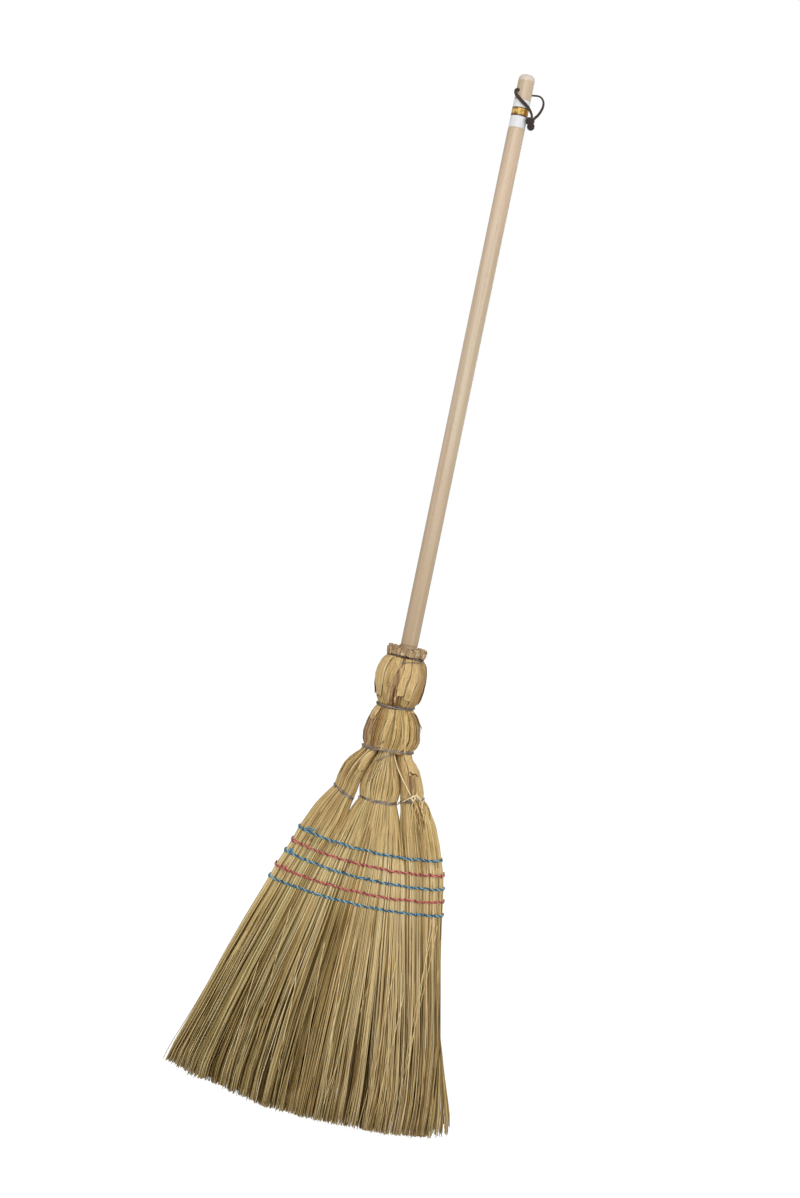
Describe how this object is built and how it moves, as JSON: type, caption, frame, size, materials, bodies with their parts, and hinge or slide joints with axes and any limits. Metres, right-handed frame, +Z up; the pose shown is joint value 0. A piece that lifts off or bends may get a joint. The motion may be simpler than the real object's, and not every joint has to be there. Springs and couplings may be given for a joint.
{
  "type": "corn broom",
  "caption": "Household broom of plant fibre: wooden handle, wire-bound neck, flat sewn fan of bristles, label sleeve and hanging lace.",
  "frame": {"origin": "on the handle's axis where a wall clip grips it, 100 mm below the handle's top", "axes": "+Z up along the handle, towards its top; -Y the side that faces the viewer; +X to the viewer's right"},
  "size_m": [0.367, 0.06, 1.36],
  "materials": {
    "handle": "satin",
    "steel": "satin",
    "label_paper": "satin",
    "label_foil": "gloss",
    "lace": "matte",
    "stalks": "matte",
    "sheaths": "satin",
    "straw": "satin",
    "bristles": "satin",
    "binding_wire": "satin",
    "blue_twine": "matte",
    "red_twine": "matte"
  },
  "bodies": {
    "broom": {"handle": "handle", "anchor_nails": "steel", "label_sleeve": "label_paper", "label_band": "label_foil", "stalk_stubs": "stalks", "core_bundle": "stalks", "upper_front_sheath": "sheaths", "upper_back_sheath": "sheaths", "lower_front_sheath": "sheaths", "lower_back_sheath": "sheaths", "neck_wire": "binding_wire", "collar_wire": "binding_wire", "waist_wire": "binding_wire", "left_bundle": "straw", "centre_bundle": "straw", "right_bundle": "straw", "left_wire": "binding_wire", "centre_wire": "binding_wire", "right_wire": "binding_wire", "straw_tie": "straw", "stitch_row_1": "blue_twine", "stitch_row_2": "red_twine", "stitch_row_3": "blue_twine", "stitch_row_4": "red_twine", "stitch_row_5": "blue_twine"},
    "bristles": {"left_bristles": "bristles", "centre_bristles": "bristles", "right_bristles": "bristles"},
    "hang_loop": {"hang_lace": "lace", "lace_knot": "lace"}
  },
  "joints": [
    {"name": "bristle_flex", "type": "hinge", "parent": "broom", "child": "bristles", "pos_m": [0, 0, -0.992], "axis": [1, 0, 0], "range_deg": [-25, 25], "stiffness_Nm_per_rad": 8},
    {"name": "loop_swing", "type": "hinge", "parent": "broom", "child": "hang_loop", "pos_m": [0, 0, 0.0775], "axis": [-0.766, -0.6428, 0], "range_deg": [0, 90]}
  ]
}
